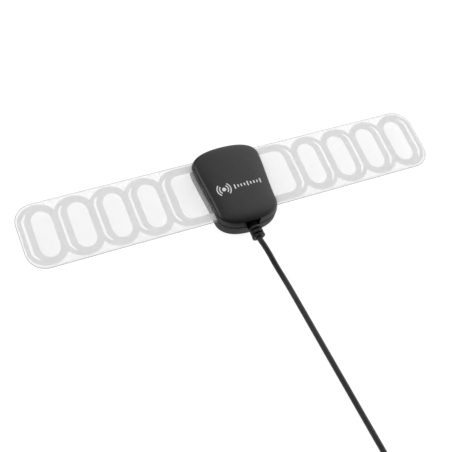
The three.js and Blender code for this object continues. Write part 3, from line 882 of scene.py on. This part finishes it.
def cross_recess(place, low):
    """Two crossed slots that narrow as they go in."""
    made = []
    reach = 1.05
    half = 0.26
    corners = ((1, 1), (-1, 1), (-1, -1), (1, -1))
    for along, across in ((reach, half), (half, reach)):
        loops = [
            [(place.x + along * s * u, place.y + across * s * v, z) for u, v in corners]
            for z, s in ((low - 0.5, 1.15), (low + 0.8, 0.62))
        ]
        made.append(rings("recess", loops))
    return made


def make_screw(index, place):
    """A pan-head screw, head down, with a threaded shank."""
    keys = ("head", "head_height", "seat", "shaft", "pitch", "thread_depth")
    head, height, seat, shaft, pitch, root = (SCREW[k] for k in keys)
    low, high = node_box(f"housing_screw_{index}")
    pan = rounded([
        (0, TINY), (0, head * 0.72), (height * 0.45, head), (height, head), (height, shaft),
    ], 0.35)
    turns = int((high.z - seat - SCREW["tip"]) / pitch)
    thread = [
        (height + 0.4 + (i + step) * pitch, shaft - depth)
        for i in range(turns)
        for step, depth in ((0, root), (0.4, 0), (0.6, 0), (1, root))
    ]
    end = high.z - low.z
    profile = [*pan, *thread, (end - 0.2, 0.4), (end, 0.1), (end, TINY)]
    screw = turned(f"pan_head_screw_{index}", profile, (place.x, place.y, low.z), UP, 40)
    combine(screw, cross_recess(place, low.z))
    keep(screw, "steel", f"housing_screw_{index}", made=STEEL)


# -------- the mark on the upper shell

MARK_PLACE = (-8.2, -1.9)
WAVES = {"dot": 1.05, "radii": (2.0, 3.3), "half_turn": math.radians(52), "stroke": 0.55}
BARS = {"count": 9, "first": -2.6, "pitch": 1.75, "width": 0.62, "long": 2.6, "short": 1.5}


def strip_faces(rows):
    """Faces between rows of points, as index tuples."""
    size = len(rows[0])
    return [
        (a * size + i, a * size + i + 1, (a + 1) * size + i + 1, (a + 1) * size + i)
        for a in range(len(rows) - 1)
        for i in range(size - 1)
    ]


def wave_rows(x, y, radius, middle, half_turn, stroke):
    """An arc of a signal symbol, as rows across its stroke."""
    return [
        [(x + r * math.cos(t), y + r * math.sin(t)) for r in (radius, radius + stroke)]
        for t in spread(middle - half_turn, middle + half_turn, 16)
    ]


def dot_rows(x, y, radius):
    """A disc, as rows round it from its inner ring outwards."""
    return [arc(x, y, r, r, 0, TAU, 28) for r in spread(0, radius, 4)[1:]]


def bar_rows(x, y0, y1, width):
    return [[(x, y), (x + width, y)] for y in spread(y0, y1, 4)]


def mark_shapes():
    """A plain broadcast symbol beside a row of scale bars: no lettering."""
    x, y = MARK_PLACE
    shapes = [dot_rows(x, y, WAVES["dot"])]
    for radius in WAVES["radii"]:
        for middle in (0, TAU / 2):
            shapes.append(wave_rows(x, y, radius, middle, WAVES["half_turn"], WAVES["stroke"]))
    for i in range(BARS["count"]):
        half = (BARS["short"] if i % 4 else BARS["long"]) / 2
        shapes.append(bar_rows(BARS["first"] + i * BARS["pitch"], y - half, y + half, BARS["width"]))
    return shapes


def make_mark(shell):
    """Lays the mark's shapes onto the crowned top as a film of ink."""
    graph = bpy.context.evaluated_depsgraph_get()
    skin = BVHTree.FromObject(shell, graph)
    ink = 0.03
    points = []
    faces = []
    for rows in mark_shapes():
        first = len(points)
        faces += [tuple(first + i for i in face) for face in strip_faces(rows)]
        if len(rows[0]) > 2:
            faces.append(tuple(first + i for i in range(len(rows[0]) - 1)))
        for px, py in (p for row in rows for p in row):
            hit = skin.ray_cast(mm(px, py, TOP_HIGH.z + 5), -UP)[0]
            points.append((px, py, hit.z * 1000 + ink))
    mark = new_object("upper_shell_mark", points, faces)
    thick = mark.modifiers.new("ink", "SOLIDIFY")
    thick.thickness = ink * 0.001
    thick.offset = -1
    finalise(mark)
    weld(mark)
    shade(mark, angle=30)
    keep(mark, "print", made=MARK)


# -------- the strain relief

SLEEVE = {
    "radius": 3.2, "tip": 3.38, "neck": 1.95, "bore": 1.6, "back": -20.9, "sleeve_back": -24.2,
    "slots": (-26.0, -28.4), "slot_width": 0.9, "slot_from": 1.3, "flange_rise": 2.0, "rim": 1.2,
}


def make_relief():
    """The moulded rubber relief: a sleeve on a thin neck, with a flange behind the housing's walls.
    Slots across its top and bottom let it bend, and its rim is thicker where the lead leaves it."""
    keys = ("radius", "tip", "neck", "bore", "back", "rim")
    radius, tip, neck, bore, back, rim = (SLEEVE[k] for k in keys)
    half_slot = SLEEVE["slot_width"] / 2
    length = back - RELIEF_LOW.y
    start = back - SLEEVE["sleeve_back"]
    profile = rounded([
        (0, TINY), (0, neck), (start, neck), (start, radius), (length - rim, radius),
        (length - rim + 0.2, tip), (length, tip - 0.1), (length, bore + 0.35), (length - 0.3, TINY),
    ], 0.3)
    relief = turned("slotted_strain_relief", profile, (0, back, AXIS_Z), (0, -1, 0), 72)
    half = RELIEF_HIGH.x
    rise = SLEEVE["flange_rise"]
    flange = block("flange", (-half, back - 0.3, AXIS_Z - rise), (half, RELIEF_HIGH.y, AXIS_Z + rise))
    relief = combine(relief, [soften(flange, 0.3)], "UNION")
    near = SLEEVE["slot_from"]
    far = 2 * radius
    cuts = [
        soften(block("slot", (-far, y - half_slot, AXIS_Z + low), (far, y + half_slot, AXIS_Z + high)), 0.2)
        for y in SLEEVE["slots"]
        for low, high in ((near, far), (-far, -near))
    ]
    tunnel = [(0, bore), (RELIEF_HIGH.y - RELIEF_LOW.y + 2, bore)]
    cuts.append(turned("tunnel", tunnel, (0, RELIEF_HIGH.y + 1, AXIS_Z), (0, -1, 0), 40))
    relief = combine(relief, cuts)
    # The neck's faces take the near-black rubber: painted shade for the shadowed hollow between the crown's
    # edge and the sleeve.
    dress(relief, RELIEF, NECK_SHADE_RUBBER)
    for face in relief.data.polygons:
        x, y, z = face.center * 1000
        shaded_neck = y > SLEEVE["sleeve_back"] and math.hypot(x, z - AXIS_Z) < neck + 0.1
        face.material_index = int(shaded_neck)
    return keep(relief, "relief", "strain_relief")


# -------- the free lead

CORD_RADIUS = 1.4
COIL = {
    "rows": 6, "row_rise": 2.65, "inward_turns": 4, "outward_turns": 3, "outward_from": 3.5,
    "clearance": 0.3, "climb_share": 0.35, "start_angle": math.radians(5.7),
    "last_angle": math.radians(95.7),
}
LEAD = [
    (0, -30.4, 6.7), (0.3, -32.2, 6.6), (0.9, -34.4, 6.25), (1.6, -37.0, 5.6), (2.4, -40.0, 4.6),
    (3.2, -43.4, 3.4), (4.1, -47.2, 2.35), (5.0, -51.5, 1.7), (5.7, -56.2, 1.45), (6.4, -62.5, 1.4),
    (8.4, -82.6, 1.4), (10.4, -102.7, 1.4), (12.4, -122.8, 1.4), (14.4, -142.9, 1.45),
    (15.6, -155.0, 1.6), (16.7, -166.0, 1.9),
]
TAIL = [
    (-19.5, -201.4, 14.6), (-25, -201.4, 13.2), (-31, -201.4, 11.0), (-37, -201.4, 8.9),
    (-43, -201.4, 7.3), (-48, -201.4, 6.65), (-53.3, -201.4, 6.5),
]


def coil_turns(per_turn=24):
    """Rows of turns laid across the coil and back, each row in the grooves of the one below."""
    pitch = 2 * CORD_RADIUS
    outermost = (COIL_HIGH.x - COIL_LOW.x) / 2 - COIL["clearance"] - CORD_RADIUS
    spots = []
    for row in range(COIL["rows"]):
        inward = row % 2 == 0
        across = COIL["inward_turns"] if inward else COIL["outward_turns"]
        radius = outermost if inward else outermost - COIL["outward_from"] * pitch
        step = -pitch if inward else pitch
        height = COIL_LOW.z + CORD_RADIUS + row * COIL["row_rise"]
        spots += [(radius + step * i / per_turn, height) for i in range(across * per_turn)]
        radius += step * across
        if row < COIL["rows"] - 1:
            for share in spread(0, 1, per_turn)[:-1]:
                climb = min(1.0, share / COIL["climb_share"])
                rise = climb * climb * (3 - 2 * climb) * COIL["row_rise"]
                spots.append((radius + pitch / 2 * share, height + rise))
        else:
            spots += [(radius, height)] * (round(per_turn * COIL["last_angle"] / TAU) + 1)
    turns = []
    for i, (radius, height) in enumerate(spots):
        a = COIL["start_angle"] - TAU * i / per_turn
        x = COIL_MIDDLE.x + radius * math.cos(a)
        turns.append((x, COIL_MIDDLE.y + radius * math.sin(a), height))
    return turns


def make_cord():
    """The whole lead: inside the relief, along the floor, round the coil and into the plug."""
    inside = [(0, RELIEF_HIGH.y + 0.4, AXIS_Z), (0, -24.0, AXIS_Z), (0, -27.5, AXIS_Z)]
    seat = 2.2
    into_boot = [(BOOT_HIGH.x - seat, PLUG_AXIS.y, PLUG_AXIS.z)]
    path = smooth_path([*inside, *LEAD, *coil_turns(), *TAIL, *into_boot], step=2.4)
    cord = tube("coaxial_lead", path, CORD_RADIUS)
    keep(cord, "cord", "cord_lead", "cord_coil", "cord_tail", "coax_jacket_end", made=JACKET)
    return cord, [mm(*p) for p in path]


def make_tie():
    """A hook-and-loop strap round one side of the coil, its end lapped over on top."""
    width = 5.0
    strip = 0.8
    turn = math.radians(140)
    inner = 8.9
    outer = 24.4
    top = TIE_HIGH.z
    outward = Vector((math.cos(turn), math.sin(turn), 0))
    across = Vector((-math.sin(turn), math.cos(turn), 0))
    middle = Vector((COIL_MIDDLE.x, COIL_MIDDLE.y, top / 2)) + outward * (inner + outer) / 2
    span = outer - inner + strip
    bend = 3.0
    path = rounded_rectangle(span, top - strip, bend, steps=8)
    section = rounded_rectangle(width, strip, 0.3, steps=3)
    loops = []
    for i, (r, z) in enumerate(path):
        ahead = (Vector(path[(i + 1) % len(path)]) - Vector(path[i - 1])).normalized()
        normal = outward * ahead.y - UP * ahead.x
        centre = middle + outward * r + UP * z
        loops.append([centre + across * u + normal * v for u, v in section])
    loop = rings("coil_strap", loops, closed=True)
    lap = lapped_end(middle + UP * (top / 2), outward, across, width, strip)
    return keep(combine(loop, [lap], "UNION"), "tie", "cord_tie", made=STRAP)


def lapped_end(place, outward, across, width, strip):
    """The strap's free end, pressed down on its own top run, with a round tip."""
    half_length = 5.2
    half = width / 2
    sunk = 0.2
    outline = arc(half_length - half, 0, half, half, -TAU / 4, TAU / 4, 12)
    outline += [(-half_length, half), (-half_length, -half)]
    loops = [
        [place + outward * u * s + across * v * s + UP * z for u, v in outline]
        for z, s in ((-sunk, 1.0), (strip * 0.7, 1.0), (strip * 0.9, 0.95))
    ]
    return rings("lap", loops)


# -------- the plug

FORWARD = (-1, 0, 0)
PLUG_BACK = (BOOT_HIGH.x, PLUG_AXIS.y, PLUG_AXIS.z)
BOOT_LENGTH = BOOT_HIGH.x - BOOT_LOW.x
RIBS = {"count": 4, "first": 2.4, "pitch": 3.2, "radius": 3.3, "growth": 0.5}
GRIPS = {"count": 18, "from": 17.9, "radius": 0.45, "out": 0.12}


def plug_span(node):
    """Where a node of the plug starts and ends, measured forward from the boot's back."""
    low, high = node_box(node)
    return BOOT_HIGH.x - high.x, BOOT_HIGH.x - low.x


def plug_piece(name, node, slot, made, profile, sides, closed=False, body=BODY):
    """A piece turned about the plug's axis; its profile runs forward from the boot's back."""
    piece = turned(name, profile, PLUG_BACK, FORWARD, sides, closed)
    return keep(piece, slot, node, made=made, body=body)


def make_boot():
    """The moulded boot: four flex ribs that grow towards a broad collar."""
    bore = CORD_RADIUS + 0.06
    neck = 2.6
    mouth = [(2.6, TINY), (2.6, bore), (0, bore), (0, neck), (2.2, neck + 0.3)]
    ribs = []
    for i in range(RIBS["count"]):
        start = RIBS["first"] + i * RIBS["pitch"]
        radius = RIBS["radius"] + i * RIBS["growth"]
        ribs += [(start, radius), (start + 1.6, radius + 0.15), (start + 1.8, radius - 0.7),
                 (start + 2.9, radius - 0.55)]
    collar = (BOOT_HIGH.y - BOOT_LOW.y) / 2
    body = [(15.4, 5.2), (16.5, collar - 0.5), (17.1, collar), (BOOT_LENGTH - 0.6, collar)]
    front = [(BOOT_LENGTH, collar - 0.6), (BOOT_LENGTH, TINY)]
    profile = rounded([*mouth, *ribs, *body, *front], 0.28)
    boot = turned("ribbed_plug_boot", profile, PLUG_BACK, FORWARD, 64)
    grip = [(GRIPS["from"], GRIPS["radius"]), (BOOT_LENGTH + 1, GRIPS["radius"])]
    places = circle(0, 0, collar + GRIPS["out"], GRIPS["count"])
    grooves = [turned("grip", grip, Vector(PLUG_BACK) + Vector((0, y, z)), FORWARD, 12) for y, z in places]
    return keep(combine(boot, grooves), "boot", "plug_boot", made=BOOT)


def make_post():
    """The fixed post behind the nut, with the flange that the nut turns against."""
    start, end = plug_span("plug_post")
    neck = 3.5
    flange = 4.3
    throat = 2.7
    profile = rounded([
        (start, TINY), (start, neck), (end - 1.5, neck), (end - 1.5, flange), (end, flange),
        (end, throat), (end - 3, throat), (end - 3, TINY),
    ], 0.15)
    return plug_piece("plug_centre_post", "plug_post", "plating", NICKEL, profile, 64)


def make_insulator():
    low, high = node_box("plug_insulator")
    start, end = plug_span("plug_insulator")
    hole = 0.75
    outer = (high.y - low.y) / 2
    profile = [(start, hole), (start, outer), (end - 0.2, outer), (end, outer - 0.2), (end, hole)]
    return plug_piece(
        "plug_white_insulator", "plug_insulator", "dielectric", WHITE_PLASTIC, profile, 48, closed=True,
    )


def make_pin():
    radius = 0.45
    start, end = plug_span("plug_pin")
    profile = rounded([(start, TINY), (start, radius), (end - 0.6, radius), (end, 0.12), (end, TINY)], 0.2)
    return plug_piece("plug_centre_pin", "plug_pin", "copper", COPPER, profile, 32)


def make_nut():
    """The hexagon nut: chamfered corners outside, a real helical thread inside."""
    back, front = plug_span("plug_nut")
    flats = 5.5
    corner = flats / math.cos(TAU / 12)
    chamfer = 0.9
    lip = 25.2
    lip_bore = 3.75
    bore = 4.55
    pitch = 0.79

    def hexagon(limit):
        def radius(a):
            turn = (a + TAU / 12) % (TAU / 6) - TAU / 12
            flat = flats / math.cos(turn)
            return min(flat, limit, corner - 0.1)
        return radius

    def thread(along):
        def radius(a):
            phase = (along / pitch + a / TAU) % 1
            return bore + 0.32 * min(1, max(0, 2.6 * abs(phase - 0.5) - 0.15))
        return radius

    outside = [(back, lip_bore + 0.2), (back, corner - chamfer - 0.15)]
    shares = spread(0, 1, 8)
    outside += [(back + 0.05 + 0.5 * t, hexagon(corner - chamfer * (1 - t))) for t in shares]
    outside += [(front - 0.55 + 0.5 * t, hexagon(corner - chamfer * t)) for t in shares]
    outside.append((front, corner - chamfer - 0.15))
    inside = [(front, bore + 0.6), (front - 0.45, bore + 0.2)]
    start = front - 0.5
    count = int((start - lip) / (pitch / 10))
    inside += [(along, thread(along)) for along in spread(start, lip, count)]
    inside += [(lip, lip_bore + 0.15), (lip - 0.15, lip_bore), (back + 0.2, lip_bore)]
    return plug_piece(
        "hexagon_plug_nut", "plug_nut", "plating", NICKEL, outside + inside, 144, closed=True,
        body=NUT_BODY,
    )


# -------- the carried-over inner pieces

def dress_inner_pieces():
    """Finishes for the CAD nodes that stay: the board, its parts and the stripped end of the coax."""
    tan = (0.42, 0.3, 0.17)
    capacitor_half = 0.56
    inductor_half = 0.73
    finishes = {
        "circuit_board": MASK, "contact_spring_left": BRASS, "contact_spring_right": BRASS,
        "balun_core": FERRITE, "balun_winding": COPPER, "coax_conductor_end": COPPER,
        "coax_braid_end": STEEL, "coax_dielectric_end": WHITE_PLASTIC,
        "chip_capacitor_1": chip_material("capacitor_1", tan, -4.6, capacitor_half),
        "chip_capacitor_2": chip_material("capacitor_2", tan, 4.6, capacitor_half),
        "chip_inductor": chip_material("inductor", (0.03, 0.03, 0.034), 0.0, inductor_half),
    }
    for name, made in finishes.items():
        dress(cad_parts[name], made)


# -------- the studio

def make_floor():
    half = 4000
    corners = [(-half, -half, 0), (half, -half, 0), (half, half, 0), (-half, half, 0)]
    floor = new_object("floor", corners, [(0, 1, 2, 3)])
    dress(floor, floor_material())


# Each is a direction, the share of the light left there, and the angles from it, in degrees, at
# which the light begins to fall and has fallen.
DARK_PATCHES = [((0.2, -0.5, 0.82), 0.1, 50, 10), ((0.1, -0.92, 0.38), 0.15, 38, 12)]


def dimmed(world, way, towards, darkest, wide, narrow):
    directions = {0: way, 1: towards.normalized()}
    facing = add_node(world, "ShaderNodeVectorMath", directions, operation="DOT_PRODUCT").outputs["Value"]
    return add_node(world, "ShaderNodeMapRange", {
        "Value": facing, "From Min": math.cos(math.radians(wide)),
        "From Max": math.cos(math.radians(narrow)), "To Min": 1.0, "To Max": darkest,
    }, interpolation_type="SMOOTHSTEP").outputs["Result"]


def make_studio():
    """Soft light from all round, stronger from the right and weaker from above the front. Lengths
    here are metres."""
    make_floor()
    key = bpy.data.lights.new("key", "AREA")
    key.shape = "DISK"
    key.size = 1.6
    key.energy = 12
    aim_object("key", key, Vector((-1.2, 0.8, 1.5)), Vector((0, 0, 0)))
    world = bpy.data.worlds.new("studio")
    world.use_nodes = True
    background = world.node_tree.nodes["Background"]
    put(world, background.inputs["Color"], rgba(1))
    way = add_node(world, "ShaderNodeTexCoord").outputs["Generated"]
    across = add_node(world, "ShaderNodeSeparateXYZ", {"Vector": way}).outputs["X"]
    left_light = 0.45
    right_light = 1.76
    strength = between(world, across, left_light, right_light, 0.0, 0.56)
    for towards, darkest, wide, narrow in DARK_PATCHES:
        factors = {0: strength, 1: dimmed(world, way, Vector(towards), darkest, wide, narrow)}
        strength = add_node(world, "ShaderNodeMath", factors, operation="MULTIPLY").outputs[0]
    put(world, background.inputs["Strength"], strength)
    bpy.context.scene.world = world
    bpy.context.scene.view_settings.view_transform = "Standard"


# -------- the assembly

make_camera()
cord, cord_path = make_cord()
relief = make_relief()
tie = make_tie()
on_cord = [relief, tie, make_boot(), make_post(), make_insulator(), make_pin(), make_nut()]
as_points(cord_path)
make_film()
upper_shell = make_housing_top()
make_housing_base()
make_mark(upper_shell)
make_pad()
for number, screw_place in enumerate(SCREW_PLACES, 1):
    make_screw(number, screw_place)
dress_inner_pieces()
make_studio()
